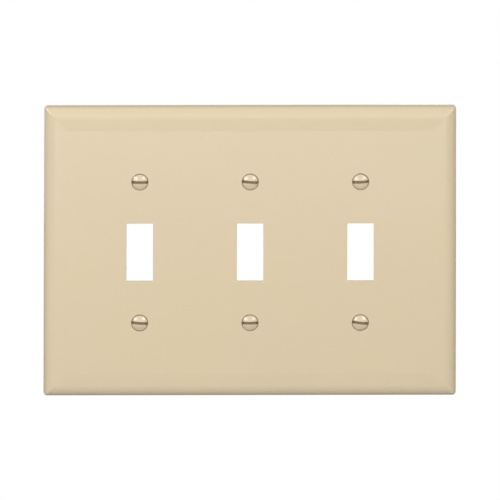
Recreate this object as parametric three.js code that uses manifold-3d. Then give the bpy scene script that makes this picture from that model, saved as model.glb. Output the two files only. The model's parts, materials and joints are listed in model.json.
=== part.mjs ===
// A three-gang wall plate for toggle switches, with the six oval-head screws that hold it on.
//
// Millimetres. X runs to the right across the face, Z is up and +Y goes into the wall. The wall's surface is
// the plane y = 0, so the plate stands in front of it, at negative y, and the screws pass through it to +Y.

import * as THREE from "three";
import { mergeVertices } from "three/addons/utils/BufferGeometryUtils.js";
import Module from "manifold-3d";

const wasm = await Module();
wasm.setup();

// ---------------------------------------------------------------- driving dimensions

// The plate's outside.
const PLATE_WIDTH = 172.0;
const PLATE_HEIGHT = 124.0;
const PLATE_DEPTH = 5.6; // wall plane to the flat of the face
const CORNER_RADIUS = 1.4; // of the outline, seen from the front
const WALL_DRAFT = 0.12; // how far the side wall leans in by the time the roll starts
const ROLL_WIDTH = 5.2; // the rounded shoulder, from the outline inwards
const ROLL_DROP = 3.6; // its height along the depth
const BAND_WIDTH = 4.8; // the shallow border between the roll and the flat
const BAND_DROP = 0.25; // how far the border falls away from the flat

// The plate's walls and the ribs in its hollow back.
const FACE_THICKNESS = 2.0;
const RIM_THICKNESS = 1.8; // the flat that touches the wall
const RIB_THICKNESS = 1.2;
const RIB_RECESS = 1.6; // from the wall plane to a rib's edge
const BOSS_DIAMETER = 10.0;
const BOSS_RECESS = 0.8; // from the wall plane to a boss's end, where the switch's strap bears

// The standard layout of the switches behind it.
const GANG_PITCH = 46.04; // one switch to the next
const SCREW_SPACING = 60.33; // upper to lower screw of one switch
const OPENING_WIDTH = 11.1; // clear of the switch's lever and its collar
const OPENING_HEIGHT = 24.8;
const FRAME_SETBACK = 1.5; // from the opening's edge to the rib around it

// The screws: number 6 oval heads with a straight slot.
const HEAD_DIAMETER = 6.5;
const HEAD_ANGLE_DEG = 82; // between opposite sides of the countersunk cone
const CROWN_HEIGHT = 1.05; // of the dome, above the head's rim
const SHANK_DIAMETER = 3.51; // outside of a 6-32 thread
const SCREW_LENGTH = 12.7; // head's rim to tip
const TIP_CHAMFER = 0.4;
const SLOT_WIDTH = 1.2;
const SLOT_DEPTH = 1.8; // from the top of the dome

// How the screws sit in the plate.
const HEAD_CLEARANCE = 0.3; // head's rim to the countersink's mouth, on the radius
const HOLE_CLEARANCE = 0.25; // shank to hole, on the radius

// How far each screw is turned from a level slot, clockwise from the front, as they were left.
const SLOT_TURNS_DEG = {
  top: { left: 0, middle: 4.5, right: -3.5 },
  bottom: { left: 4.5, middle: 0, right: 6.5 },
};

// How finely curves are cut.
const ROLL_STEPS = 8;
const CORNER_STEPS = 6;
const CROWN_STEPS = 6;
const ROUND_SIDES = 28;

// How far a cutting shape runs past what it cuts.
const OVERRUN = 5;

// ---------------------------------------------------------------- places worked out from them

const HEAD_RADIUS = HEAD_DIAMETER / 2;
const SHANK_RADIUS = SHANK_DIAMETER / 2;
const CONE_SLOPE = Math.tan(THREE.MathUtils.degToRad(HEAD_ANGLE_DEG / 2)); // radius lost per depth
const CENTRE_COLUMNS = { left: -GANG_PITCH, middle: 0, right: GANG_PITCH };
const SCREW_ROWS = { top: SCREW_SPACING / 2, bottom: -SCREW_SPACING / 2 };
const WALL_HEIGHT = PLATE_DEPTH - BAND_DROP - ROLL_DROP; // the side wall below the roll

// ---------------------------------------------------------------- solids

// A manifold solid from a closed three.js geometry.
function solidFrom(geometry) {
  const bare = geometry.clone();
  bare.deleteAttribute("normal");
  bare.deleteAttribute("uv");
  const merged = mergeVertices(bare);
  return new wasm.Manifold(
    new wasm.Mesh({
      numProp: 3,
      vertProperties: new Float32Array(merged.attributes.position.array),
      triVerts: new Uint32Array(merged.index.array),
    }),
  );
}

// A three.js geometry from a manifold solid, with a flat normal on each face.
function geometryFrom(solid) {
  const mesh = solid.getMesh();
  const shared = new THREE.BufferGeometry();
  shared.setAttribute("position", new THREE.BufferAttribute(mesh.vertProperties, mesh.numProp));
  shared.setIndex(new THREE.BufferAttribute(mesh.triVerts, 1));
  const faceted = shared.toNonIndexed();
  faceted.computeVertexNormals();
  return faceted;
}

// A closed outline, given as [x, y] pairs, drawn out along its own z by length and centred there.
function prism(points, length) {
  const outline = new THREE.Shape(points.map(([x, y]) => new THREE.Vector2(x, y)));
  const geometry = new THREE.ExtrudeGeometry(outline, { depth: length, bevelEnabled: false });
  return geometry.translate(0, 0, -length / 2);
}

// A block between two corners.
function block(low, high) {
  const size = high.map((value, axis) => value - low[axis]);
  const middle = high.map((value, axis) => (value + low[axis]) / 2);
  return solidFrom(new THREE.BoxGeometry(...size).translate(...middle));
}

// A solid of revolution about a line along Y through (x, z); the profile is [radius, y] pairs, tip to head.
function turned(profile, x = 0, z = 0) {
  const points = profile.map(([radius, y]) => new THREE.Vector2(radius, y));
  return solidFrom(new THREE.LatheGeometry(points, ROUND_SIDES).translate(x, 0, z));
}

// A quarter of an ellipse from its steep end to its flat top, as [inset, depth] pairs.
function quarterRoll(centreInset, centreDepth, halfWidth, height) {
  return Array.from({ length: ROLL_STEPS + 1 }, (_, step) => {
    const angle = (step / ROLL_STEPS) * (Math.PI / 2);
    return [centreInset - halfWidth * Math.cos(angle), centreDepth + height * Math.sin(angle)];
  });
}

// The section from the wall plane to the flat of the face, as [inset, depth] pairs.
function outerEdge() {
  const roll = quarterRoll(ROLL_WIDTH, WALL_HEIGHT, ROLL_WIDTH - WALL_DRAFT, ROLL_DROP);
  return [[0, 0], ...roll, [ROLL_WIDTH + BAND_WIDTH, PLATE_DEPTH]];
}

// The same for the hollow behind it, started past the wall plane so that the back is open.
function innerEdge() {
  const ceiling = PLATE_DEPTH - FACE_THICKNESS;
  const roll = quarterRoll(ROLL_WIDTH, WALL_HEIGHT, ROLL_WIDTH - RIM_THICKNESS, ceiling - WALL_HEIGHT);
  return [[RIM_THICKNESS, -OVERRUN], ...roll];
}

// The block whose four sides all follow one edge section, mitred where they meet. The section across the
// width makes the front and back planes; the upright one runs past both of them and shapes only its own sides.
function mitredBlock(edge, width, height) {
  const section = (span, outline) => {
    const rising = outline.map(([inset, depth]) => [-span / 2 + inset, depth]);
    const falling = outline.map(([inset, depth]) => [span / 2 - inset, depth]).reverse();
    return [...rising, ...falling];
  };
  const [startInset, startDepth] = edge[0];
  const [endInset, endDepth] = edge[edge.length - 1];
  const longEdge = [[startInset, startDepth - OVERRUN], ...edge, [endInset, endDepth + OVERRUN]];
  // The sections are drawn with depth up; turning them about X puts depth along -Y.
  const across = prism(section(width, edge), height + OVERRUN).rotateX(Math.PI);
  const upright = prism(section(height, longEdge), width + OVERRUN).rotateX(Math.PI);
  return solidFrom(across).intersect(solidFrom(upright.rotateY(Math.PI / 2)));
}

// The outline's rounded corners, as a prism along the depth.
function roundedOutline() {
  const halfWidth = PLATE_WIDTH / 2;
  const halfHeight = PLATE_HEIGHT / 2;
  const points = [];
  const corners = [
    [1, 1],
    [-1, 1],
    [-1, -1],
    [1, -1],
  ];
  corners.forEach(([sideX, sideZ], corner) => {
    for (let step = 0; step <= CORNER_STEPS; step += 1) {
      const angle = ((corner + step / CORNER_STEPS) * Math.PI) / 2;
      points.push([
        sideX * (halfWidth - CORNER_RADIUS) + CORNER_RADIUS * Math.cos(angle),
        sideZ * (halfHeight - CORNER_RADIUS) + CORNER_RADIUS * Math.sin(angle),
      ]);
    }
  });
  return solidFrom(prism(points, 2 * (PLATE_DEPTH + OVERRUN)).rotateX(Math.PI / 2));
}

// ---------------------------------------------------------------- the plate

// The rib around one toggle opening, set back from its edge.
function openingFrame(x) {
  const frame = (reach) =>
    block(
      [x - OPENING_WIDTH / 2 - reach, -PLATE_DEPTH - OVERRUN, -OPENING_HEIGHT / 2 - reach],
      [x + OPENING_WIDTH / 2 + reach, -RIB_RECESS, OPENING_HEIGHT / 2 + reach],
    );
  return frame(FRAME_SETBACK + RIB_THICKNESS).subtract(frame(FRAME_SETBACK));
}

// The opening itself, cut right through.
function openingCut(x) {
  return block(
    [x - OPENING_WIDTH / 2, -PLATE_DEPTH - OVERRUN, -OPENING_HEIGHT / 2],
    [x + OPENING_WIDTH / 2, OVERRUN, OPENING_HEIGHT / 2],
  );
}

// The round boss behind one screw hole.
function screwBoss(x, z) {
  const length = PLATE_DEPTH + OVERRUN - BOSS_RECESS;
  const geometry = new THREE.CylinderGeometry(BOSS_DIAMETER / 2, BOSS_DIAMETER / 2, length, ROUND_SIDES);
  return solidFrom(geometry.translate(x, -BOSS_RECESS - length / 2, z));
}

// The clearance hole for one screw, opened to its head's angle at the face.
function screwHoleCut(x, z) {
  const holeRadius = SHANK_RADIUS + HOLE_CLEARANCE;
  const mouthRadius = HEAD_RADIUS + HEAD_CLEARANCE;
  const past = 0.5 * CROWN_HEIGHT;
  const profile = [
    [0, -PLATE_DEPTH - past],
    [mouthRadius + past * CONE_SLOPE, -PLATE_DEPTH - past],
    [holeRadius, -PLATE_DEPTH + (mouthRadius - holeRadius) / CONE_SLOPE],
    [holeRadius, OVERRUN],
    [0, OVERRUN],
  ];
  return turned(profile, x, z);
}

// A rib standing along X through a row of screws, or along Z between two switches.
function rowRib(z) {
  return block(
    [-PLATE_WIDTH, -PLATE_DEPTH - OVERRUN, z - RIB_THICKNESS / 2],
    [PLATE_WIDTH, -RIB_RECESS, z + RIB_THICKNESS / 2],
  );
}

function columnRib(x) {
  return block(
    [x - RIB_THICKNESS / 2, -PLATE_DEPTH - OVERRUN, -PLATE_HEIGHT],
    [x + RIB_THICKNESS / 2, -RIB_RECESS, PLATE_HEIGHT],
  );
}

// The whole plate: its outside, less the hollow that is left between the ribs, less its openings and holes.
function wallPlate() {
  const columns = Object.values(CENTRE_COLUMNS);
  const rows = Object.values(SCREW_ROWS);
  let hollow = mitredBlock(innerEdge(), PLATE_WIDTH, PLATE_HEIGHT);
  for (const z of rows) hollow = hollow.subtract(rowRib(z));
  for (const side of [-1, 1]) hollow = hollow.subtract(columnRib((side * GANG_PITCH) / 2));
  for (const x of columns) {
    hollow = hollow.subtract(openingFrame(x));
    for (const z of rows) hollow = hollow.subtract(screwBoss(x, z));
  }
  const outside = mitredBlock(outerEdge(), PLATE_WIDTH, PLATE_HEIGHT).intersect(roundedOutline());
  let plate = outside.subtract(hollow);
  for (const x of columns) {
    plate = plate.subtract(openingCut(x));
    for (const z of rows) plate = plate.subtract(screwHoleCut(x, z));
  }
  return plate;
}

// ---------------------------------------------------------------- a screw

// One screw, its head's rim in the plane y = 0, its dome towards -Y and its shank towards +Y.
function plateScrew() {
  const domeRadius = (HEAD_RADIUS ** 2 + CROWN_HEIGHT ** 2) / (2 * CROWN_HEIGHT);
  const domeAngle = Math.asin(HEAD_RADIUS / domeRadius);
  const dome = Array.from({ length: CROWN_STEPS }, (_, step) => {
    const angle = (step / CROWN_STEPS) * domeAngle;
    return [domeRadius * Math.sin(angle), domeRadius * (1 - Math.cos(angle)) - CROWN_HEIGHT];
  });
  const profile = [
    ...dome,
    [HEAD_RADIUS, 0],
    [SHANK_RADIUS, (HEAD_RADIUS - SHANK_RADIUS) / CONE_SLOPE],
    [SHANK_RADIUS, SCREW_LENGTH - TIP_CHAMFER],
    [SHANK_RADIUS - TIP_CHAMFER, SCREW_LENGTH],
    [0, SCREW_LENGTH],
  ];
  const slot = block(
    [-HEAD_DIAMETER, -CROWN_HEIGHT - OVERRUN, -SLOT_WIDTH / 2],
    [HEAD_DIAMETER, -CROWN_HEIGHT + SLOT_DEPTH, SLOT_WIDTH / 2],
  );
  return turned(profile).subtract(slot);
}

// ---------------------------------------------------------------- assembly

const ivoryPlastic = () =>
  new THREE.MeshStandardMaterial({ color: 0xe0cfaf, roughness: 0.32, metalness: 0 });
const ivoryEnamel = () =>
  new THREE.MeshStandardMaterial({ color: 0xe4d3b3, roughness: 0.28, metalness: 0 });

const assembly = new THREE.Group();

const plate = new THREE.Mesh(geometryFrom(wallPlate()), ivoryPlastic());
plate.name = "wall_plate";
assembly.add(plate);

// The screws hang in a group whose own plane is the flat of the face, where their heads' rims lie.
const screws = new THREE.Group();
screws.position.y = -PLATE_DEPTH;
assembly.add(screws);

for (const [row, z] of Object.entries(SCREW_ROWS)) {
  for (const [column, x] of Object.entries(CENTRE_COLUMNS)) {
    const screw = new THREE.Mesh(geometryFrom(plateScrew()), ivoryEnamel());
    screw.name = `screw_${row}_${column}`;
    screw.position.set(x, 0, z);
    screw.rotation.y = THREE.MathUtils.degToRad(SLOT_TURNS_DEG[row][column]);
    screws.add(screw);
  }
}

export default assembly;
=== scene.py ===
"""Studio scene of a three-gang wall plate for toggle switches, with the six screws that hold it on.

The plate is one hollow ivory moulding: a flat face inside a shallow band and a rolled edge, three toggle
openings, six countersunk holes, and ribs and bosses behind. Each screw is a slotted oval head in ivory
enamel on a zinc-plated 6-32 shank. Lengths are in metres in the frame's own axes: +X to the right along the
openings, +Y into the wall and +Z up, so the face looks towards -Y.
"""

import json
import logging
import math
from collections.abc import Callable, Iterable, Sequence
from dataclasses import dataclass, field
from enum import Enum
from typing import ClassVar

import bmesh
import bpy
from mathutils import Matrix, Vector


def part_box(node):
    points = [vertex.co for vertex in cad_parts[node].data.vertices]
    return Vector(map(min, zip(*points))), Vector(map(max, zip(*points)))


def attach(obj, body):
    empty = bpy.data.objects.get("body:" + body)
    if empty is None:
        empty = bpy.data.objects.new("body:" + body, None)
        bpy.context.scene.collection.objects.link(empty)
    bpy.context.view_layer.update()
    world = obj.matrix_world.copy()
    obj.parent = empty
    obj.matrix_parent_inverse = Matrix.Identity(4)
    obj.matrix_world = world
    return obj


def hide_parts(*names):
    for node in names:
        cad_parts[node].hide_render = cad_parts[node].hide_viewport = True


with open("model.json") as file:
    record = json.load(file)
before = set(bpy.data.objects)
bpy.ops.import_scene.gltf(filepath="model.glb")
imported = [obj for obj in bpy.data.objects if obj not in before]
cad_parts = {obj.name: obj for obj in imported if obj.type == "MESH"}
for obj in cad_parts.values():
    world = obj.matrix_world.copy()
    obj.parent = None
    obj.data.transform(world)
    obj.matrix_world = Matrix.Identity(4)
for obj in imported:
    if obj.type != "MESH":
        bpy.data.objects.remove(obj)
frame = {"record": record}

MM = 0.001
# The angle past which an edge of the moulding is shaded sharp, in degrees.
SHARP_DEG = 38.0
# Points closer to a plane than this lie in it: a plane that was cut finely, and an end of the thread.
IN_PLANE = 1e-7
AT_END = 1e-6
LOG = logging.getLogger("wall_plate")

Edges = list[bmesh.types.BMEdge]
Colour = tuple[float, float, float]


class Row(Enum):
    """The two rows of screws, by the names that their nodes carry."""

    TOP = "top"
    BOTTOM = "bottom"


class Column(Enum):
    """The three switches behind the plate, by the names that their nodes carry."""

    LEFT = "left"
    MIDDLE = "middle"
    RIGHT = "right"


class Facing(Enum):
    """The way that a flat skin looks."""

    ROOM = (0.0, -1.0, 0.0)
    WALL = (0.0, 1.0, 0.0)


# How far each screw was left turned from a level slot, in degrees, clockwise as seen from the room.
SLOT_TURNS: dict[tuple[Row, Column], float] = {
    (Row.TOP, Column.LEFT): 0.0,
    (Row.TOP, Column.MIDDLE): 4.5,
    (Row.TOP, Column.RIGHT): -3.5,
    (Row.BOTTOM, Column.LEFT): 4.5,
    (Row.BOTTOM, Column.MIDDLE): 0.0,
    (Row.BOTTOM, Column.RIGHT): 6.5,
}


# ---------------------------------------------------------------- colours and shader nodes


def linear(red: int, green: int, blue: int) -> Colour:
    """Turns a display colour into the linear values that a shader takes.

    Args:
        red: the display value, 0 to 255.
        green: the display value, 0 to 255.
        blue: the display value, 0 to 255.

    Returns:
        The linear red, green and blue.
    """

    def channel(value: int) -> float:
        """Turns one display value into a linear one."""
        share = value / 255
        return share / 12.92 if share <= 0.04045 else ((share + 0.055) / 1.055) ** 2.4

    return channel(red), channel(green), channel(blue)


class Shader:
    """A node material under construction, with its Principled shader and its object coordinates."""

    def __init__(self, name: str) -> None:
        """Starts the material.

        Args:
            name: the material's name.
        """
        self.material = bpy.data.materials.new(name)
        self.material.use_nodes = True
        self.tree = self.material.node_tree
        self.principled = self.tree.nodes["Principled BSDF"]
        self.place = self.tree.nodes.new("ShaderNodeTexCoord").outputs["Object"]

    def node(self, kind: str, **settings: object) -> bpy.types.Node:
        """Adds a node.

        Args:
            kind: the node's type, without its ShaderNode prefix.
            **settings: attributes to set on it.

        Returns:
            The new node.
        """
        made = self.tree.nodes.new("ShaderNode" + kind)
        for name, value in settings.items():
            setattr(made, name, value)
        return made

    def link(self, source: bpy.types.NodeSocket, target: bpy.types.NodeSocket) -> None:
        """Joins an output to an input."""
        self.tree.links.new(source, target)

    def constant(self, **values: object) -> None:
        """Sets sockets of the Principled shader, named with underscores for spaces.

        Args:
            **values: the value of each socket.
        """
        for name, value in values.items():
            self.principled.inputs[name.replace("_", " ")].default_value = value

    def stretched(self, scale: tuple[float, float, float]) -> bpy.types.NodeSocket:
        """Gives object coordinates stretched along each axis.

        Args:
            scale: the factor along X, Y and Z.

        Returns:
            The stretched coordinates.
        """
        mapping = self.node("Mapping")
        mapping.inputs["Scale"].default_value = scale
        self.link(self.place, mapping.inputs["Vector"])
        return mapping.outputs["Vector"]

    def noise(
        self, size: float, detail: float = 2.0, place: bpy.types.NodeSocket | None = None
    ) -> bpy.types.NodeSocket:
        """Adds a noise whose features are about a given size.

        Args:
            size: the size of a feature, in metres.
            detail: how many finer layers it has.
            place: coordinates to use in place of the object's own.

        Returns:
            The noise's value, about 0.5 on average.
        """
        made = self.node("TexNoise")
        made.inputs["Scale"].default_value = 1 / size
        made.inputs["Detail"].default_value = detail
        self.link(place or self.place, made.inputs["Vector"])
        return made.outputs["Fac"]

    def remap(
        self, value: bpy.types.NodeSocket, low: float, high: float, start: float, end: float
    ) -> bpy.types.NodeSocket:
        """Maps a range of a value to another range, clamped at both ends.

        Args:
            value: the value.
            low: where the source range starts.
            high: where the source range ends.
            start: what low becomes.
            end: what high becomes.

        Returns:
            The mapped value.
        """
        made = self.node("MapRange")
        for name, number in zip(("From Min", "From Max", "To Min", "To Max"), (low, high, start, end)):
            made.inputs[name].default_value = number
        self.link(value, made.inputs["Value"])
        return made.outputs["Result"]

    def mix(
        self,
        share: bpy.types.NodeSocket,
        first: Colour | bpy.types.NodeSocket,
        second: Colour | bpy.types.NodeSocket,
    ) -> bpy.types.NodeSocket:
        """Blends two colours.

        Args:
            share: how much of the second colour shows, 0 to 1.
            first: the colour at 0.
            second: the colour at 1.

        Returns:
            The blended colour.
        """
        made = self.node("Mix", data_type="RGBA")
        self.link(share, made.inputs[0])
        for slot, colour in ((6, first), (7, second)):
            if isinstance(colour, bpy.types.NodeSocket):
                self.link(colour, made.inputs[slot])
            else:
                made.inputs[slot].default_value = (*colour, 1.0)
        return made.outputs[2]

    def relief(
        self, height: bpy.types.NodeSocket, depth: float, under: bpy.types.NodeSocket | None = None
    ) -> bpy.types.NodeSocket:
        """Turns a height into a bumped normal.

        Args:
            height: the height, 0 to 1.
            depth: what a height of 1 stands for, in metres.
            under: a coarser bump that this one lies on.

        Returns:
            The bumped normal.
        """
        made = self.node("Bump")
        made.inputs["Distance"].default_value = depth
        made.inputs["Strength"].default_value = 1.0
        self.link(height, made.inputs["Height"])
        if under is not None:
            self.link(under, made.inputs["Normal"])
        return made.outputs["Normal"]

    def along(self, axis: str) -> bpy.types.NodeSocket:
        """Gives one object coordinate, by its axis."""
        split = self.node("SeparateXYZ")
        self.link(self.place, split.inputs["Vector"])
        return split.outputs[axis]


# ---------------------------------------------------------------- finishes


@dataclass(frozen=True)
class PolishedIvory:
    """Ivory polycarbonate as it leaves the polished side of the mould: the plate's face and edges."""

    warmer: Colour = linear(223, 205, 171)
    cooler: Colour = linear(221, 204, 172)
    speck: Colour = linear(208, 190, 158)
    flow_size: float = 60 * MM
    speck_size: float = 0.32 * MM
    speck_strength: float = 0.35
    # Wiping marks, drawn out along the plate, and the roughness that they range over.
    rub_size: float = 0.5 * MM
    rub_stretch: tuple[float, float, float] = (0.06, 1.0, 1.0)
    haze: tuple[float, float] = (0.11, 0.17)
    peel_size: float = 1.6 * MM
    peel_depth: float = 0.0012 * MM
    grain_size: float = 0.22 * MM
    grain_depth: float = 0.0004 * MM

    def material(self) -> bpy.types.Material:
        """Makes the material."""
        shader = Shader("polished_ivory_plastic")
        shader.constant(IOR=1.52, Specular_IOR_Level=0.5, Coat_Weight=0.0)
        flow = shader.noise(self.flow_size, detail=3)
        tone = shader.mix(shader.remap(flow, 0.35, 0.65, 0, 1), self.cooler, self.warmer)
        specks = shader.remap(shader.noise(self.speck_size, detail=1), 0.66, 0.78, 0, self.speck_strength)
        shader.link(shader.mix(specks, tone, self.speck), shader.principled.inputs["Base Color"])
        rub = shader.noise(self.rub_size, detail=2, place=shader.stretched(self.rub_stretch))
        shader.link(shader.remap(rub, 0.3, 0.7, *self.haze), shader.principled.inputs["Roughness"])
        peel = shader.relief(shader.noise(self.peel_size, detail=1), self.peel_depth)
        grain = shader.relief(shader.noise(self.grain_size, detail=2), self.grain_depth, peel)
        shader.link(grain, shader.principled.inputs["Normal"])
        return shader.material


@dataclass(frozen=True)
class SparkedIvory:
    """The same polycarbonate from the spark-eroded core of the mould: the satin back of the plate."""

    body: Colour = linear(222, 205, 174)
    shade: Colour = linear(214, 197, 166)
    flow_size: float = 14 * MM
    haze: tuple[float, float] = (0.42, 0.58)
    grain_size: float = 0.28 * MM
    grain_depth: float = 0.012 * MM

    def material(self) -> bpy.types.Material:
        """Makes the material."""
        shader = Shader("sparked_ivory_plastic")
        shader.constant(IOR=1.52)
        flow = shader.remap(shader.noise(self.flow_size, detail=4), 0.35, 0.65, 0, 1)
        shader.link(shader.mix(flow, self.body, self.shade), shader.principled.inputs["Base Color"])
        grain = shader.noise(self.grain_size, detail=3)
        shader.link(shader.remap(grain, 0.3, 0.7, *self.haze), shader.principled.inputs["Roughness"])
        shader.link(shader.relief(grain, self.grain_depth), shader.principled.inputs["Normal"])
        return shader.material


@dataclass(frozen=True)
class SeatIvory:
    """The polycarbonate of a screw's countersink, dull, and darkened as painted shade for the deep gap around
    the head, in random patches.
    """

    pale_painted_shade: Colour = linear(168, 146, 112)
    deep_painted_shade: Colour = linear(112, 92, 64)
    patch_size: float = 0.3 * MM
    patch_depth: float = 0.006 * MM
    haze: tuple[float, float] = (0.38, 0.62)

    def material(self) -> bpy.types.Material:
        """Makes the material."""
        shader = Shader("countersink_ivory")
        shader.constant(IOR=1.52)
        # Painted shade: both colours are far darker than the ivory and stand for the shadow in the gap around
        # the screw's head. The noise only spreads them in patches, and its bumps are real.
        patches = shader.noise(self.patch_size, detail=3)
        painted_shade_share = shader.remap(patches, 0.35, 0.65, 0, 1)
        shader.link(shader.mix(painted_shade_share, self.pale_painted_shade, self.deep_painted_shade), shader.principled.inputs["Base Color"])
        shader.link(shader.remap(painted_shade_share, 0, 1, *self.haze), shader.principled.inputs["Roughness"])
        shader.link(shader.relief(patches, self.patch_depth), shader.principled.inputs["Normal"])
        return shader.material


@dataclass(frozen=True)
class IvoryEnamel:
    """Baked ivory enamel on the crown of a screw."""

    body: Colour = linear(222, 205, 174)
    thin: Colour = linear(207, 186, 154)
    cover_size: float = 0.7 * MM
    cover_loss: float = 0.6
    haze_size: float = 0.6 * MM
    haze: tuple[float, float] = (0.14, 0.26)
    peel_size: float = 0.5 * MM
    peel_depth: float = 0.003 * MM

    def material(self) -> bpy.types.Material:
        """Makes the material."""
        shader = Shader("ivory_enamel")
        shader.constant(IOR=1.5, Coat_Weight=0.35, Coat_Roughness=0.06)
        cover = shader.remap(shader.noise(self.cover_size, detail=4), 0.5, 0.75, 0, self.cover_loss)
        shader.link(shader.mix(cover, self.body, self.thin), shader.principled.inputs["Base Color"])
        haze = shader.remap(shader.noise(self.haze_size, detail=3), 0.3, 0.7, *self.haze)
        shader.link(haze, shader.principled.inputs["Roughness"])
        peel = shader.noise(self.peel_size, detail=2)
        shader.link(shader.relief(peel, self.peel_depth), shader.principled.inputs["Normal"])
        return shader.material


@dataclass(frozen=True)
class SlotEnamel:
    """Thin enamel in a driver slot, scuffed in places, with painted shade darkening it towards the floor."""

    thin: Colour = linear(214, 190, 160)
    dark: Colour = linear(172, 142, 114)
    painted_shade: Colour = linear(118, 95, 74)
    scuff_size: float = 0.35 * MM
    scuff_depth: float = 0.01 * MM
    haze: tuple[float, float] = (0.35, 0.55)
    # The depths between which the painted shade deepens, down to the slot's floor, and how much of the floor
    # it darkens.
    shade_from: float = -5.4 * MM
    shade_to: float = -4.9 * MM
    shade_cover: float = 0.6

    def material(self) -> bpy.types.Material:
        """Makes the material."""
        shader = Shader("slot_enamel")
        shader.constant(IOR=1.5)
        scuff = shader.noise(self.scuff_size, detail=4)
        worn = shader.remap(scuff, 0.42, 0.66, 0, 1)
        # Painted shade: the colour darkens with depth towards the slot's floor, where the slot's walls keep
        # the light out.
        painted_shade_share = shader.remap(shader.along("Y"), self.shade_from, self.shade_to, 0, self.shade_cover)
        enamel = shader.mix(worn, self.thin, self.dark)
        shader.link(shader.mix(painted_shade_share, enamel, self.painted_shade), shader.principled.inputs["Base Color"])
        shader.link(shader.remap(worn, 0, 1, *self.haze), shader.principled.inputs["Roughness"])
        shader.link(shader.relief(scuff, self.scuff_depth), shader.principled.inputs["Normal"])
        return shader.material


@dataclass(frozen=True)
class ZincPlate:
    """Zinc plating on a screw's shank, with enamel overspray fading out below the head."""

    zinc: Colour = linear(186, 187, 184)
    stain: Colour = linear(150, 148, 140)
    spray: Colour = linear(222, 204, 172)
    stain_size: float = 1.1 * MM
    haze: tuple[float, float] = (0.28, 0.46)
    draw_size: float = 0.12 * MM
    draw_depth: float = 0.006 * MM
    # The depths between which the overspray fades, and how far its droplets scatter about them.
    spray_from: float = -4.4 * MM
    spray_to: float = -2.4 * MM
    droplet_size: float = 0.4 * MM
    scatter: float = 2.4 * MM

    def material(self) -> bpy.types.Material:
        """Makes the material."""
        shader = Shader("zinc_plate")
        stain = shader.remap(shader.noise(self.stain_size, detail=5), 0.42, 0.68, 0, 1)
        metal = shader.mix(stain, self.zinc, self.stain)
        drift = shader.node("Math", operation="MULTIPLY_ADD")
        drift.inputs[1].default_value = self.scatter
        shader.link(shader.noise(self.droplet_size, detail=3), drift.inputs[0])
        shader.link(shader.along("Y"), drift.inputs[2])
        # The droplets' noise is about 0.5 on average, so half of the scatter is its middle.
        mean = self.scatter / 2
        bare = shader.remap(drift.outputs[0], self.spray_from + mean, self.spray_to + mean, 0, 1)
        shader.link(shader.mix(bare, self.spray, metal), shader.principled.inputs["Base Color"])
        shader.link(bare, shader.principled.inputs["Metallic"])
        shader.link(shader.remap(stain, 0, 1, *self.haze), shader.principled.inputs["Roughness"])
        drawn = shader.noise(self.draw_size, detail=2)
        shader.link(shader.relief(drawn, self.draw_depth), shader.principled.inputs["Normal"])
        return shader.material


# ---------------------------------------------------------------- loops and skins


@dataclass(frozen=True)
class Ring:
    """A closed outline in a plane of equal depth: a rectangle with rounded corners, or a circle.

    Attributes:
        y: the plane's depth.
        half_x: half the width.
        half_z: half the height.
        corner: the corners' radius, which for a circle is as large as both halves.
    """

    y: float
    half_x: float
    half_z: float
    corner: float


def circle(y: float, radius: float) -> Ring:
    """Gives a round outline.

    Args:
        y: its depth.
        radius: its radius.

    Returns:
        The outline.
    """
    return Ring(y, radius, radius, radius)


@dataclass
class Outline:
    """An outline drawn in a mesh, from which the skin can be grown further.

    Attributes:
        edges: its edges.
        ring: its shape.
        x: its centre across.
        z: its centre up.
    """

    edges: Edges
    ring: Ring
    x: float
    z: float


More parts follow.
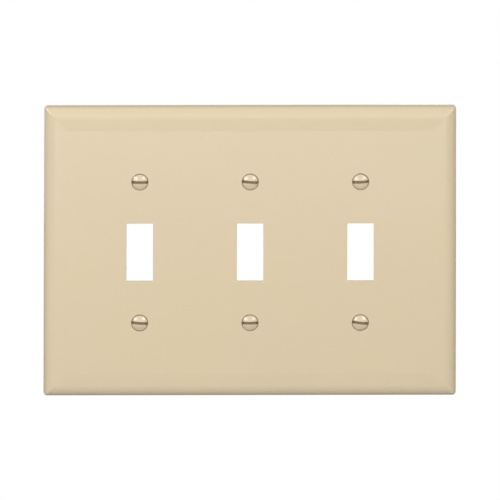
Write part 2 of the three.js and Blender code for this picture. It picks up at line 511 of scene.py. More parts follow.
class Skin:
    """A closed skin grown over outlines, each at its own depth."""

    CORNER_STEPS = 8
    ROUND_STEPS = 72
    # Turns a figure drawn in X and Y so that its Y runs up Z and it looks to the room.
    UPRIGHT = Matrix.Rotation(math.pi / 2, 4, "X")

    def __init__(self) -> None:
        """Starts with nothing."""
        self.bm = bmesh.new()
        self.material = 0

    def draw(self, ring: Ring, x: float = 0.0, z: float = 0.0) -> Outline:
        """Draws one outline, with no face in it.

        Args:
            ring: its shape and depth.
            x: its centre across.
            z: its centre up.

        Returns:
            The outline.
        """
        verts = self._circle(ring) if ring.corner == ring.half_x else self._rectangle(ring)
        place = Matrix.Translation((x, ring.y, z)) @ self.UPRIGHT
        bmesh.ops.transform(self.bm, matrix=place, verts=verts)
        return Outline(list({edge for vert in verts for edge in vert.link_edges}), ring, x, z)

    def _circle(self, ring: Ring) -> list[bmesh.types.BMVert]:
        """Draws a circle in X and Y, with no face."""
        made = bmesh.ops.create_circle(
            self.bm, cap_ends=False, radius=ring.half_x, segments=self.ROUND_STEPS
        )
        return made["verts"]

    def _rectangle(self, ring: Ring) -> list[bmesh.types.BMVert]:
        """Draws a rectangle with rounded corners in X and Y, with no face."""
        grid = bmesh.ops.create_grid(self.bm, x_segments=1, y_segments=1, size=1.0)["verts"]
        bmesh.ops.scale(self.bm, vec=(ring.half_x, ring.half_z, 1.0), verts=grid)
        rounded = bmesh.ops.bevel(
            self.bm,
            geom=grid,
            offset=ring.corner,
            offset_type="OFFSET",
            segments=self.CORNER_STEPS,
            profile=0.5,
            affect="VERTICES",
            material=-1,
        )
        verts = rounded["verts"]
        bmesh.ops.delete(self.bm, geom=list(verts[0].link_faces), context="FACES_ONLY")
        return verts

    def grow(self, outline: Outline, rings: Iterable[Ring]) -> Outline:
        """Extrudes the skin from an outline to each of a run of rings.

        Args:
            outline: where it starts.
            rings: the rings, in order.

        Returns:
            The last outline.
        """
        for ring in rings:
            made = bmesh.ops.extrude_edge_only(self.bm, edges=outline.edges)["geom"]
            verts = {item for item in made if isinstance(item, bmesh.types.BMVert)}
            for item in made:
                if isinstance(item, bmesh.types.BMFace):
                    item.material_index = self.material
            self._reshape(verts, outline, ring)
            edges = list({edge for vert in verts for edge in vert.link_edges if set(edge.verts) <= verts})
            outline = Outline(edges, ring, outline.x, outline.z)
        return outline

    @staticmethod
    def _reshape(verts: Iterable[bmesh.types.BMVert], outline: Outline, ring: Ring) -> None:
        """Moves vertices that lie on an outline to their places on another ring.

        Args:
            verts: the vertices.
            outline: the outline that they lie on.
            ring: the ring that they go to.
        """
        was = outline.ring
        for vert in verts:
            across, up = vert.co.x - outline.x, vert.co.z - outline.z
            side, level = math.copysign(1.0, across), math.copysign(1.0, up)
            turn_x = (across - side * (was.half_x - was.corner)) / was.corner
            turn_z = (up - level * (was.half_z - was.corner)) / was.corner
            vert.co = (
                outline.x + side * (ring.half_x - ring.corner) + turn_x * ring.corner,
                ring.y,
                outline.z + level * (ring.half_z - ring.corner) + turn_z * ring.corner,
            )

    def tower(self, rings: Sequence[Ring], x: float = 0.0, z: float = 0.0) -> tuple[Outline, Outline]:
        """Draws the first of a run of rings and grows the skin over the others.

        Args:
            rings: the rings in order.
            x: their centre across.
            z: their centre up.

        Returns:
            The first outline and the last.
        """
        first = self.draw(rings[0], x, z)
        return first, self.grow(first, rings[1:])

    def cover(self, outlines: Iterable[Outline], facing: Facing) -> None:
        """Fills the flat area between outlines that lie in one plane.

        Args:
            outlines: the outer outline and those of the holes in it.
            facing: the way that the area looks.
        """
        edges = [edge for outline in outlines for edge in outline.edges]
        made = bmesh.ops.triangle_fill(
            self.bm, use_beauty=True, use_dissolve=False, edges=edges, normal=facing.value
        )
        for item in made["geom"]:
            if isinstance(item, bmesh.types.BMFace):
                item.material_index = self.material

    def object(
        self, name: str, finishes: Sequence[bpy.types.Material], sharp_deg: float = SHARP_DEG
    ) -> bpy.types.Object:
        """Makes the finished object.

        Args:
            name: its name.
            finishes: its materials, in the order of their indices.
            sharp_deg: the angle past which an edge is shaded sharp.

        Returns:
            The object, at the origin.

        Raises:
            ValueError: if the skin isn't closed.
        """
        gaps = [edge for edge in self.bm.edges if not edge.is_manifold]
        if gaps:
            raise ValueError(f"{name} has {len(gaps)} open edges")
        bmesh.ops.recalc_face_normals(self.bm, faces=self.bm.faces)
        mesh = bpy.data.meshes.new(name)
        self.bm.to_mesh(mesh)
        self.bm.free()
        for finish in finishes:
            mesh.materials.append(finish)
        mesh.shade_smooth()
        mesh.set_sharp_from_angle(angle=math.radians(sharp_deg))
        made = bpy.data.objects.new(name, mesh)
        bpy.context.scene.collection.objects.link(made)
        return made


def quarter(steps: int) -> list[tuple[float, float]]:
    """Gives points of a quarter circle of radius 1.

    Args:
        steps: how many straight steps it has.

    Returns:
        The sine and cosine of each angle from 0 to a right angle.
    """
    angles = [math.pi / 2 * step / steps for step in range(steps + 1)]
    return [(math.sin(angle), math.cos(angle)) for angle in angles]


# ---------------------------------------------------------------- the plate


@dataclass(frozen=True)
class Opening:
    """One toggle opening in the plate.

    Attributes:
        x: its centre across.
        z: its centre up.
        half_x: half its width.
        half_z: half its height.
    """

    x: float
    z: float
    half_x: float
    half_z: float


@dataclass
class WallPlate:
    """The ivory moulding. Its outside, its holes and their places come from the frame."""

    # How many of a hole's rings make its polished lip, and how many more its dull seat.
    LIP_RINGS: ClassVar[int] = 3
    SEAT_RINGS: ClassVar[int] = 3

    # The edge, from the outline inwards.
    corner_radius: float = 1.4 * MM
    mitre_radius: float = 0.6 * MM
    wall_draft: float = 0.12 * MM
    roll_width: float = 5.2 * MM
    roll_drop: float = 3.6 * MM
    band_width: float = 4.8 * MM
    band_drop: float = 0.25 * MM
    crease: float = 0.35 * MM
    # The walls and what stands behind the face.
    face_thickness: float = 2.0 * MM
    rim_thickness: float = 1.8 * MM
    rib_thickness: float = 1.2 * MM
    rib_recess: float = 1.6 * MM
    boss_radius: float = 5.0 * MM
    boss_recess: float = 0.8 * MM
    frame_setback: float = 1.5 * MM
    pin_mark_radius: float = 2.0 * MM
    pin_mark_depth: float = 0.12 * MM
    pin_mark_inset: float = 13.0 * MM
    # How deep a straight rib is rooted in the ceiling, and where its ends stop: inside the rim, from the
    # outline, and inside a boss, from the screw's axis.
    rib_root: float = 0.25 * MM
    rib_grip: float = 1.3 * MM
    rib_bite: float = 3.6 * MM
    # Small radii and the slope of walls that have to leave the mould.
    break_radius: float = 0.15 * MM
    opening_radius: float = 0.22 * MM
    opening_corner: float = 0.18 * MM
    rib_draft: float = 0.08 * MM
    # The screw holes.
    mouth_radius: float = 3.55 * MM
    hole_radius: float = 2.005 * MM
    cone_angle_deg: float = 82.0
    # How much smaller the frame's boxes are than the openings.
    opening_clearance: float = 0.05 * MM
    # How many straight steps each curve has.
    crease_steps: int = 4
    roll_steps: int = 18
    hollow_steps: int = 8
    opening_steps: int = 4
    break_steps: int = 3
    rib_steps: int = 2

    def __post_init__(self) -> None:
        """Reads the outside from the frame."""
        low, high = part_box("wall_plate")
        self.half_x = (high[0] - low[0]) / 2
        self.half_z = (high[2] - low[2]) / 2
        self.depth = -low[1]
        self.wall_height = self.depth - self.band_drop - self.roll_drop
        self.ceiling = self.depth - self.face_thickness

    def openings(self) -> list[Opening]:
        """Reads the toggle openings from the frame."""
        found = []
        for stated in frame["record"]["physics"]["openings"]:
            low, high = stated["box_m"]
            half_x = (high[0] - low[0]) / 2 + self.opening_clearance
            half_z = (high[2] - low[2]) / 2 + self.opening_clearance
            found.append(Opening((low[0] + high[0]) / 2, (low[2] + high[2]) / 2, half_x, half_z))
        return found

    def ring(self, inset: float, depth: float) -> Ring:
        """Gives the plate's outline drawn in by an inset, at a depth from the wall.

        Args:
            inset: how far inside the outline.
            depth: how far from the wall.

        Returns:
            The outline there, whose corners tighten to the mitre's radius.
        """
        corner = max(self.corner_radius - inset, self.mitre_radius)
        return Ring(-depth, self.half_x - inset, self.half_z - inset, corner)

    def outside(self) -> list[Ring]:
        """Gives the outlines from the flat of the face, over the band and the roll, to the wall."""
        slope = self.band_drop / self.band_width
        band_end = self.roll_width + self.band_width
        rings = [self.ring(band_end + 3 * self.crease, self.depth)]
        # The crease between the face and the band is a parabola, level where it leaves the face.
        for step in range(self.crease_steps + 1):
            run = 2 * self.crease * step / self.crease_steps
            drop = slope * run**2 / (4 * self.crease)
            rings.append(self.ring(band_end + self.crease - run, self.depth - drop))
        # The roll is a quarter of an ellipse, entered where it is as steep as the band.
        entry = math.atan(slope * self.roll_width / self.roll_drop)
        reach = (self.roll_width - self.wall_draft) / (1 - math.sin(entry))
        for step in range(self.roll_steps + 1):
            angle = entry + (math.pi / 2 - entry) * step / self.roll_steps
            inset = self.wall_draft + reach * (1 - math.sin(angle))
            height = self.wall_height + self.roll_drop * math.cos(angle) / math.cos(entry)
            rings.append(self.ring(inset, height))
        for turn, rest in quarter(self.break_steps):
            rings.append(self.ring(self.break_radius * (1 - rest), self.break_radius * (1 - turn)))
        return rings

    def hollow(self) -> list[Ring]:
        """Gives the outlines from the rim's flat, up the inner wall, to the ceiling behind the face."""
        rim = self.rim_thickness
        rings = []
        for turn, rest in quarter(self.break_steps):
            inset = rim - self.break_radius * (1 - turn)
            rings.append(self.ring(inset, self.break_radius * (1 - rest)))
        rise = self.ceiling - self.wall_height
        run = self.roll_width - rim
        for turn, rest in quarter(self.hollow_steps):
            rings.append(self.ring(rim + run * (1 - rest), self.wall_height + rise * turn))
        rings.append(self.ring(self.roll_width + self.break_radius, self.ceiling))
        return rings

    def opening_rings(self, opening: Opening) -> list[Ring]:
        """Gives the outlines through one toggle opening and over the rib around its back.

        Args:
            opening: the opening.

        Returns:
            The outlines from the face to the ceiling.
        """

        def grown(by: float, depth: float) -> Ring:
            """Gives the opening's outline grown by a distance, at a depth from the wall."""
            corner = self.opening_corner + max(by, 0.0)
            return Ring(-depth, opening.half_x + by, opening.half_z + by, corner)

        small, large = self.break_radius, self.opening_radius
        inner = self.frame_setback
        outer = inner + self.rib_thickness
        rings = [grown(large + small, self.depth)]
        for turn, rest in quarter(self.opening_steps):
            rings.append(grown(large * (1 - turn), self.depth - large * (1 - rest)))
        for turn, rest in quarter(self.rib_steps):
            rings.append(grown(small * (1 - rest), self.ceiling + small * (1 - turn)))
        rings.append(grown(inner - self.rib_draft, self.ceiling))
        for turn, rest in quarter(self.rib_steps):
            rings.append(grown(inner + small * (1 - rest), self.rib_recess + small * (1 - turn)))
        for turn, rest in quarter(self.rib_steps):
            rings.append(grown(outer - small * (1 - turn), self.rib_recess + small * (1 - rest)))
        rings.append(grown(outer + self.rib_draft, self.ceiling))
        return rings

    def hole_rings(self) -> list[Ring]:
        """Gives the outlines through one screw hole and over its boss, from the face to the ceiling."""
        small = self.break_radius
        slope = math.tan(math.radians(self.cone_angle_deg / 2))
        mouth, hole = self.mouth_radius, self.hole_radius
        cone_end = self.depth - (mouth - hole) / slope
        rings = [circle(-self.depth, mouth + 2 * small)]
        # The lip between the face and the cone, a soft break of two steps.
        rings.append(circle(-self.depth, mouth + 0.5 * small))
        rings.append(circle(-self.depth + 0.12 * small, mouth + 0.1 * small))
        rings.append(circle(-self.depth + 0.45 * small, mouth - 0.3 * small))
        rings.append(circle(-cone_end, hole))
        rings.append(circle(-self.boss_recess - small, hole))
        rings.append(circle(-self.boss_recess, hole + small))
        for turn, rest in quarter(self.break_steps):
            end = -self.boss_recess - small * (1 - rest)
            rings.append(circle(end, self.boss_radius - small * (1 - turn)))
        rings.append(circle(-self.ceiling, self.boss_radius + self.rib_draft))
        return rings

    def pin_mark_rings(self) -> list[Ring]:
        """Gives the outlines of the shallow round dent that an ejector pin leaves in the ceiling."""
        low = self.ceiling + self.pin_mark_depth
        return [
            circle(-self.ceiling, self.pin_mark_radius),
            circle(-low, self.pin_mark_radius - self.pin_mark_depth / 4),
        ]

    def pin_marks(self) -> list[tuple[float, float]]:
        """Gives the ejector pins' places: over and under each switch, clear of the ribs."""
        reach = self.half_z - self.pin_mark_inset
        return [(opening.x, side * reach) for opening in self.openings() for side in (-1, 1)]

    def rib(self, low: tuple[float, float], high: tuple[float, float]) -> bpy.types.Object:
        """Makes one straight rib, rooted in the ceiling, as a loose solid.

        Args:
            low: its lower corner across and up.
            high: its upper corner across and up.

        Returns:
            The rib.
        """
        centre = ((low[0] + high[0]) / 2, (low[1] + high[1]) / 2)
        half = ((high[0] - low[0]) / 2, (high[1] - low[1]) / 2)
        small = self.break_radius

        def level(by: float, depth: float) -> Ring:
            """Gives the rib's outline grown by a distance, at a depth from the wall."""
            return Ring(-depth, half[0] + by, half[1] + by, small)

        rings = [level(self.rib_draft, self.ceiling + self.rib_root), level(0.0, self.rib_recess + small)]
        for turn, rest in quarter(self.rib_steps)[1:]:
            rings.append(level(-small * (1 - rest), self.rib_recess + small * (1 - turn)))
        skin = Skin()
        first, last = skin.tower(rings, *centre)
        skin.cover([first], Facing.ROOM)
        skin.cover([last], Facing.WALL)
        return skin.object("loose_rib", [])

    def ribs(self, holes: Sequence[tuple[float, float]]) -> list[bpy.types.Object]:
        """Makes the ribs along both rows of screws and between the switches.

        Args:
            holes: the screws' places.

        Returns:
            The loose ribs.
        """
        half, grip, bite = self.rib_thickness / 2, self.rib_grip, self.rib_bite
        made = []
        for z in sorted({hole[1] for hole in holes}):
            stops = sorted(x for x, level in holes if level == z)
            starts = [-self.half_x + grip] + [x + bite for x in stops]
            ends = [x - bite for x in stops] + [self.half_x - grip]
            made += [self.rib((a, z - half), (b, z + half)) for a, b in zip(starts, ends)]
        centres = sorted(opening.x for opening in self.openings())
        for left, right in zip(centres, centres[1:]):
            x = (left + right) / 2
            made.append(self.rib((x - half, -self.half_z + grip), (x + half, self.half_z - grip)))
        return made

    def build(self, holes: Sequence[tuple[float, float]]) -> bpy.types.Object:
        """Makes the whole moulding.

        Args:
            holes: the screws' places.

        Returns:
            The plate.
        """
        skin = Skin()
        face, foot = skin.tower(self.outside())
        skin.material = 1
        ceiling = skin.grow(foot, self.hollow())
        fronts, backs = [face], [ceiling]
        skin.material = 0
        for opening in self.openings():
            front, back = skin.tower(self.opening_rings(opening), opening.x, opening.z)
            fronts.append(front)
            backs.append(back)
        rings = self.hole_rings()
        for x, z in holes:
            skin.material = 0
            front, lip = skin.tower(rings[: self.LIP_RINGS], x, z)
            # The seat takes the countersink finish, which is painted shade.
            skin.material = 2
            seat = skin.grow(lip, rings[self.LIP_RINGS : self.LIP_RINGS + self.SEAT_RINGS])
            skin.material = 1
            back = skin.grow(seat, rings[self.LIP_RINGS + self.SEAT_RINGS :])
            fronts.append(front)
            backs.append(back)
        skin.material = 0
        skin.cover(fronts, Facing.ROOM)
        skin.material = 1
        for x, z in self.pin_marks():
            edge, floor = skin.tower(self.pin_mark_rings(), x, z)
            backs.append(edge)
            skin.cover([floor], Facing.WALL)
        skin.cover(backs, Facing.WALL)
        for item in skin.bm.faces:
            behind = item.calc_center_median().y > -self.ceiling - 0.01 * MM
            # The core of the mould makes everything behind the face but the outside of the edge.
            if behind and item.material_index == 0 and not self._outer(item):
                item.material_index = 1
        finishes = [PolishedIvory().material(), SparkedIvory().material(), SeatIvory().material()]
        plate = skin.object("plate_moulding", finishes)
        weld(plate, self.ribs(holes))
        return plate

    def _outer(self, item: bmesh.types.BMFace) -> bool:
        """Says whether a face belongs to the outside of the edge."""
        centre = item.calc_center_median()
        inset = min(self.half_x - abs(centre.x), self.half_z - abs(centre.z))
        return inset < self.rim_thickness / 2


def weld(whole: bpy.types.Object, additions: Sequence[bpy.types.Object]) -> None:
    """Joins loose solids to an object as one closed body, and removes them.

    Args:
        whole: the object that they are joined to.
        additions: the loose solids.
    """
    for addition in additions:
        union = whole.modifiers.new("weld", "BOOLEAN")
        union.operation = "UNION"
        union.solver = "EXACT"
        union.object = addition
        evaluated = whole.evaluated_get(bpy.context.evaluated_depsgraph_get())
        joined = bpy.data.meshes.new_from_object(evaluated)
        whole.modifiers.clear()
        joined.name = whole.name
        whole.data = joined
        bpy.data.objects.remove(addition)
    # The seams that the union made are sharp or smooth like any other edge.
    whole.data.set_sharp_from_angle(angle=math.radians(SHARP_DEG))


# ---------------------------------------------------------------- the screws


@dataclass
class PlateScrew:
    """A slotted oval-head screw, 6-32, modelled with its head's rim in the plane of the face."""

    head_radius: float = 3.25 * MM
    cone_angle_deg: float = 82.0
    crown_height: float = 1.05 * MM
    rim_break: float = 0.07 * MM
    slot_width: float = 1.2 * MM
    slot_depth: float = 1.8 * MM
    slot_break: float = 0.05 * MM
    neck_radius: float = 1.42 * MM
    neck_length: float = 0.45 * MM
    thread_radius: float = 1.755 * MM
    root_radius: float = 1.27 * MM
    pitch: float = 0.794 * MM
    length: float = 12.7 * MM
    tip_taper: float = 0.55 * MM
    tip_step: float = 0.1 * MM
    sharp_deg: float = 32.0
    dome_steps: int = 14
    round_steps: int = 96
    thread_steps: int = 32
    # Vertices this close to a cut of the slot are moved onto it, so that it leaves no slivers.
    cut_reach: float = 0.035 * MM
    weld_reach: float = 0.002 * MM
    # What lies further than this from the plane of the rim is above or below it.
    rim_reach: float = 0.02 * MM
    materials: list[bpy.types.Material] = field(default_factory=list)

    def profile(self) -> list[tuple[float, float]]:
        """Gives the head's section from the crown's middle to the neck, as radius and depth."""
        radius, crown = self.head_radius, self.crown_height
        dome = (radius**2 + crown**2) / (2 * crown)
        reach = math.asin((radius - self.rim_break) / dome)
        points = []
        for step in range(self.dome_steps + 1):
            angle = reach * step / self.dome_steps
            points.append((dome * math.sin(angle), dome * (1 - math.cos(angle)) - crown))
        slope = math.tan(math.radians(self.cone_angle_deg / 2))
        low = self.rim_break
        # The rim's edge is broken in two short steps.
        points.append((radius, 0.0))
        points.append((radius - 0.3 * low, 0.8 * low))
        cone_end = (radius - self.neck_radius) / slope
        points.append(((radius + self.neck_radius) / 2, cone_end / 2))
        points.append((self.neck_radius, cone_end))
        return points

    def head(self, bm: bmesh.types.BMesh) -> Edges:
        """Turns the head and cuts its slot.

        Args:
            bm: the mesh to make it in.

        Returns:
            The open edge loop under the head.
        """
        verts = [bm.verts.new((radius, y, 0.0)) for radius, y in self.profile()]
        edges = [bm.edges.new(pair) for pair in zip(verts, verts[1:])]
        bmesh.ops.spin(
            bm,
            geom=verts + edges,
            cent=(0, 0, 0),
            axis=(0, 1, 0),
            angle=2 * math.pi,
            steps=self.round_steps,
            use_merge=True,
        )
        bmesh.ops.remove_doubles(bm, verts=bm.verts, dist=0.0005 * MM)
        self.cut_slot(bm)
        low = max(vert.co.y for vert in bm.verts)
        return [e for e in bm.edges if e.is_boundary and all(abs(v.co.y - low) < IN_PLANE for v in e.verts)]

    def cut_slot(self, bm: bmesh.types.BMesh) -> None:
        """Cuts the driver slot right across the head, level, and softens its edges.

        Args:
            bm: the head's mesh, open below.
        """
        half = self.slot_width / 2
        floor = self.slot_depth - self.crown_height
        self._cut_flat(bm, "z", -half, self.cut_reach)
        self._cut_flat(bm, "z", half, self.cut_reach)
        self._cut_flat(bm, "y", floor, self.cut_reach / 4)
        inside = []
        for face in bm.faces:
            centre = face.calc_center_median()
            if abs(centre.z) < half - IN_PLANE and centre.y < floor - IN_PLANE:
                inside.append(face)
        bmesh.ops.delete(bm, geom=inside, context="FACES")
        self._line_slot(bm, half, floor)
        self._soften_slot(bm, half)

    @staticmethod
    def _cut_flat(bm: bmesh.types.BMesh, axis: str, level: float, reach: float) -> None:
        """Cuts a mesh's faces along a plane square to an axis.

        Args:
            bm: the mesh.
            axis: the axis, in small letters.
            level: where the plane crosses the axis.
            reach: how close a vertex has to be to be moved onto the plane.
        """
        normal = Vector()
        setattr(normal, axis, 1.0)
        cut = bmesh.ops.bisect_plane(
            bm,
            geom=[*bm.verts, *bm.edges, *bm.faces],
            dist=reach,
            plane_co=normal * level,
            plane_no=normal,
        )
        for item in cut["geom_cut"]:
            if isinstance(item, bmesh.types.BMVert):
                setattr(item.co, axis, level)

    @staticmethod
    def _line_slot(bm: bmesh.types.BMesh, half: float, floor: float) -> None:
        """Fills in the slot's two walls and its floor.

        Args:
            bm: the head's mesh, open where the slot is.
            half: half the slot's width.
            floor: the depth of its floor.
        """

        def boundary(test: Callable[[Vector], bool]) -> Edges:
            """Finds the open edges whose two ends both pass a test."""
            return [e for e in bm.edges if e.is_boundary and all(test(v.co) for v in e.verts)]

        def arc(side: float) -> Edges:
            """Finds the open edges around one wall."""
            return boundary(lambda co: abs(co.z - side) < IN_PLANE and co.y < floor + IN_PLANE)

        sills, lining = [], []
        for side in (-half, half):
            verts = {vert for edge in arc(side) for vert in edge.verts}
            low = [vert for vert in verts if abs(vert.co.y - floor) < IN_PLANE]
            left, right = sorted(low, key=lambda vert: vert.co.x)
            sill = bm.edges.new((left, right))
            sills.append(sill)
            lining += bmesh.ops.contextual_create(bm, geom=[*arc(side), sill])["faces"]
        ends = boundary(lambda co: abs(co.y - floor) < IN_PLANE and abs(co.z) < half + IN_PLANE)
        lining += bmesh.ops.contextual_create(bm, geom=list({*ends, *sills}))["faces"]
        for face in lining:
            face.material_index = 1

    def _soften_slot(self, bm: bmesh.types.BMesh, half: float) -> None:
        """Bevels the slot's two long edges.

        Args:
            bm: the head's mesh, with its slot lined.
            half: half the slot's width.
        """
        lips = [
            edge
            for edge in bm.edges
            if len(edge.link_faces) == 2
            and {face.material_index for face in edge.link_faces} == {0, 1}
            and all(abs(abs(vert.co.z) - half) < IN_PLANE for vert in edge.verts)
            and all(vert.co.y < -self.rim_reach for vert in edge.verts)
        ]
        bmesh.ops.bevel(
            bm,
            geom=lips,
            offset=self.slot_break,
            offset_type="OFFSET",
            segments=2,
            profile=0.5,
            affect="EDGES",
            material=-1,
        )

    def thread(self, bm: bmesh.types.BMesh, start: float) -> Edges:
        """Winds the thread from a depth to the tip and closes the tip.

        Args:
            bm: the mesh to make it in.
            start: where the thread starts.

        Returns:
            The open edge loop at its start.
        """
        pitch, root, crest = self.pitch, self.root_radius, self.thread_radius
        # One turn's section, as radius and share of the pitch: the flat root, then the ridge.
        section = [(root, 0.0), (root, 0.25), (crest, 0.5625), (crest, 0.6875), (root, 1.0)]
        lead = start - 2 * pitch
        wind = bmesh.new()
        verts = [wind.verts.new((radius, lead + share * pitch, 0.0)) for radius, share in section]
        edges = [wind.edges.new(pair) for pair in zip(verts, verts[1:])]
        turns = math.ceil((self.length - start) / pitch) + 3
        bmesh.ops.spin(
            wind,
            geom=verts + edges,
            cent=(0, 0, 0),
            axis=(0, 1, 0),
            dvec=(0, pitch / self.thread_steps, 0),
            angle=2 * math.pi * turns,
            steps=self.thread_steps * turns,
            use_merge=False,
        )
        bmesh.ops.remove_doubles(wind, verts=wind.verts, dist=self.weld_reach)
        for depth, normal in ((start, -1), (self.length, 1)):
            bmesh.ops.bisect_plane(
                wind,
                geom=[*wind.verts, *wind.edges, *wind.faces],
                dist=self.weld_reach,
                plane_co=(0, depth, 0),
                plane_no=(0, normal, 0),
                clear_outer=True,
            )
        for vert in wind.verts:
            radius = math.hypot(vert.co.x, vert.co.z)
            limit = root - self.tip_step + (self.length - vert.co.y) * (crest - root) / self.tip_taper
            if radius > limit:
                vert.co.x *= limit / radius
                vert.co.z *= limit / radius
        tip = [e for e in wind.edges if e.is_boundary and all(v.co.y > self.length - AT_END for v in e.verts)]
        bmesh.ops.triangle_fill(wind, use_beauty=True, use_dissolve=False, edges=tip, normal=(0, 1, 0))
        for face in wind.faces:
            face.material_index = 2
        mesh = bpy.data.meshes.new("wind")
        wind.to_mesh(mesh)
        wind.free()
        bm.from_mesh(mesh)
        bpy.data.meshes.remove(mesh)
        return [e for e in bm.edges if e.is_boundary and all(abs(v.co.y - start) < AT_END for v in e.verts)]

    def build(self, name: str, x: float, rim: float, z: float, turn_deg: float) -> bpy.types.Object:
        """Makes one screw in its place.

        Args:
            name: its object's name.
            x: its axis across.
            rim: the depth of its head's rim.
            z: its axis up.
            turn_deg: how far its slot is turned from level, clockwise as seen from the room.

        Returns:
            The screw.
        """
        skin = Skin()
        bm = skin.bm
        neck = self.head(bm)
        for face in bm.faces:
            if face.calc_center_median().y > self.rim_reach and face.material_index == 0:
                face.material_index = 2
        start = max(vert.co.y for edge in neck for vert in edge.verts) + self.neck_length
        wound = self.thread(bm, start)
        joined = bmesh.ops.bridge_loops(bm, edges=neck + wound)
        for face in joined["faces"]:
            face.material_index = 2
        place = Matrix.Translation((x, rim, z)) @ Matrix.Rotation(math.radians(turn_deg), 4, "Y")
        bmesh.ops.transform(bm, matrix=place, verts=bm.verts)
        return skin.object(name, self.materials, self.sharp_deg)


# ---------------------------------------------------------------- the studio


@dataclass
class Softbox:
    """A flat soft light, aimed at the plate's middle, with its long side level unless it is square.

    Attributes:
        name: its object's name.
        towards: the direction from the plate to the light.
        width: its size across.
        height: its size up.
        power: in watts.
        distance: from the plate.
    """

    name: str
    towards: tuple[float, float, float]
    width: float
    height: float
    power: float
    distance: float = 0.9

    def build(self) -> None:
        """Makes the light."""
        data = bpy.data.lights.new(self.name, "AREA")
        data.shape = "RECTANGLE"
        data.size, data.size_y = self.width, self.height
        data.energy = self.power
        light = bpy.data.objects.new(self.name, data)
        direction = Vector(self.towards).normalized()
        light.location = direction * self.distance
        light.rotation_euler = (-direction).to_track_quat("-Z", "Y").to_euler()
        light.visible_camera = False
        bpy.context.scene.collection.objects.link(light)


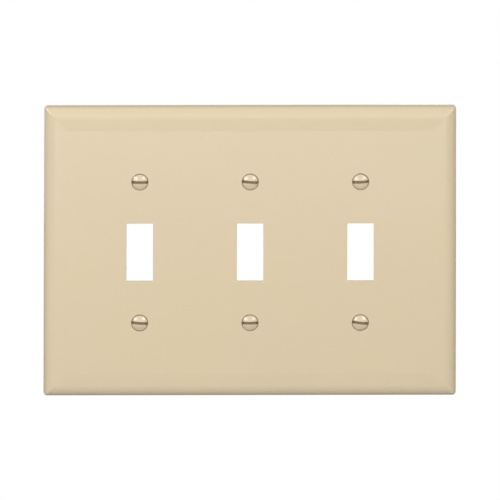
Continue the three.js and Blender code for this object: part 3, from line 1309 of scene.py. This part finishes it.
@dataclass
class Studio:
    """The pale floor, the soft light and the camera."""

    floor_drop: float = 0.16
    floor_size: float = 6.0
    floor_shade: float = 0.38
    surround: float = 0.385
    camera_left_deg: float = 1.0
    camera_up_deg: float = 13.1
    camera_roll_deg: float = 0.13
    camera_distance: float = 1.2
    view_width: float = 208.6 * MM
    # Where the middle of the view lies from the middle of the plate's face.
    view_right: float = -0.06 * MM
    view_up: float = 1.04 * MM

    def light(self) -> None:
        """Makes the soft lights and the pale card in front, and the white ground behind."""
        boxes = (
            Softbox("softbox_left", (-0.58, -0.73, 0.36), 0.45, 0.45, 4.1, distance=1.1),
            Softbox("softbox_right", (0.54, -0.72, 0.42), 0.56, 0.56, 6.4, distance=1.4),
            Softbox("softbox_front", (0.05, -0.965, 0.26), 1.2, 0.9, 2.25, distance=1.5),
            Softbox("softbox_top", (0.0, -0.2, 0.98), 1.6, 1.6, 1.6, distance=2.0),
            Softbox("pale_card", (0.04, -0.936, -0.35), 0.9, 0.47, 2.15, distance=1.1),
            Softbox("glint_left", (-0.756, -0.457, 0.469), 0.12, 0.12, 0.7),
            Softbox("behind_left", (-0.45, 0.89, 0.05), 1.0, 0.5, 1.0, distance=1.2),
            Softbox("behind_right", (0.45, 0.89, 0.05), 1.0, 0.5, 1.2, distance=1.2),
            Softbox("white_ground", (0.0, 1.0, 0.0175), 2.4, 0.475, 2.0, distance=1.0),
        )
        for box in boxes:
            box.build()

    def backdrop(self) -> None:
        """Makes the surround, which the camera sees as white and which lights the plate less."""
        world = bpy.data.worlds.new("surround")
        world.use_nodes = True
        background = world.node_tree.nodes["Background"]
        path = world.node_tree.nodes.new("ShaderNodeLightPath")
        level = world.node_tree.nodes.new("ShaderNodeMapRange")
        level.inputs["To Min"].default_value = self.surround
        level.inputs["To Max"].default_value = 1.0
        world.node_tree.links.new(path.outputs["Is Camera Ray"], level.inputs["Value"])
        world.node_tree.links.new(level.outputs["Result"], background.inputs["Strength"])
        background.inputs["Color"].default_value = (1.0, 1.0, 1.0, 1.0)
        bpy.context.scene.world = world

    def floor(self) -> None:
        """Makes the pale floor."""
        bm = bmesh.new()
        bmesh.ops.create_grid(bm, x_segments=1, y_segments=1, size=self.floor_size / 2)
        drop = Matrix.Translation((0, 0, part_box("wall_plate")[0][2] - self.floor_drop))
        bmesh.ops.transform(bm, matrix=drop, verts=bm.verts)
        mesh = bpy.data.meshes.new("studio_floor")
        bm.to_mesh(mesh)
        bm.free()
        floor = bpy.data.objects.new("studio_floor", mesh)
        bpy.context.scene.collection.objects.link(floor)
        material = bpy.data.materials.new("pale_floor")
        material.use_nodes = True
        tree = material.node_tree
        principled = tree.nodes["Principled BSDF"]
        principled.inputs["Base Color"].default_value = (*[self.floor_shade] * 3, 1.0)
        principled.inputs["Roughness"].default_value = 0.9
        # Seen by the camera it is as white as the surround, so the plate stands before a plain ground.
        white = tree.nodes.new("ShaderNodeEmission")
        path = tree.nodes.new("ShaderNodeLightPath")
        seen = tree.nodes.new("ShaderNodeMixShader")
        tree.links.new(path.outputs["Is Camera Ray"], seen.inputs[0])
        tree.links.new(principled.outputs["BSDF"], seen.inputs[1])
        tree.links.new(white.outputs["Emission"], seen.inputs[2])
        tree.links.new(seen.outputs["Shader"], tree.nodes["Material Output"].inputs["Surface"])
        mesh.materials.append(material)

    def camera(self) -> None:
        """Makes the camera: nearly square on, a little from above, and without perspective."""
        data = bpy.data.cameras.new("camera")
        data.type = "ORTHO"
        data.ortho_scale = self.view_width
        data.clip_start, data.clip_end = 0.01, 20.0
        camera = bpy.data.objects.new("camera", data)
        side, up = math.radians(self.camera_left_deg), math.radians(self.camera_up_deg)
        back = Vector((-math.sin(side) * math.cos(up), -math.cos(side) * math.cos(up), math.sin(up)))
        roll = Matrix.Rotation(math.radians(self.camera_roll_deg), 4, "Z")
        turn = (-back).to_track_quat("-Z", "Y").to_matrix().to_4x4() @ roll
        right, above = turn.col[0].to_3d(), turn.col[1].to_3d()
        aim = Vector((0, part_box("wall_plate")[0][1], 0)) + right * self.view_right + above * self.view_up
        camera.matrix_world = Matrix.Translation(aim + back * self.camera_distance) @ turn
        bpy.context.scene.collection.objects.link(camera)
        bpy.context.scene.camera = camera

    def build(self) -> None:
        """Sets up the whole studio."""
        self.light()
        self.backdrop()
        self.floor()
        self.camera()
        bpy.context.scene.view_settings.view_transform = "Standard"


# ---------------------------------------------------------------- assembly


def main() -> None:
    """Builds the studio, the plate and the screws, and reports each piece."""
    logging.basicConfig(level=logging.INFO, format="%(name)s: %(message)s")
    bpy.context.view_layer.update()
    Studio().build()
    axes = {joint["child"]: joint["pos_m"] for joint in frame["record"]["behaviour"]["joints"]}
    places: dict[tuple[Row, Column], tuple[float, float]] = {}
    for row in Row:
        for column in Column:
            x, _, z = axes[f"screw_{row.value}_{column.value}"]
            places[row, column] = (x, z)
    plate = WallPlate()
    moulding = plate.build(list(places.values()))
    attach(moulding, "plate")
    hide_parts("wall_plate")
    LOG.info("%s: %d faces", moulding.name, len(moulding.data.polygons))
    finishes = [IvoryEnamel().material(), SlotEnamel().material(), ZincPlate().material()]
    screw = PlateScrew(materials=finishes)
    for (row, column), (x, z) in places.items():
        node = f"screw_{row.value}_{column.value}"
        made = screw.build("plate_" + node, x, -plate.depth, z, SLOT_TURNS[row, column])
        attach(made, node)
        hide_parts(node)
        LOG.info("%s: %d faces", made.name, len(made.data.polygons))


if __name__ == "__main__":
    main()
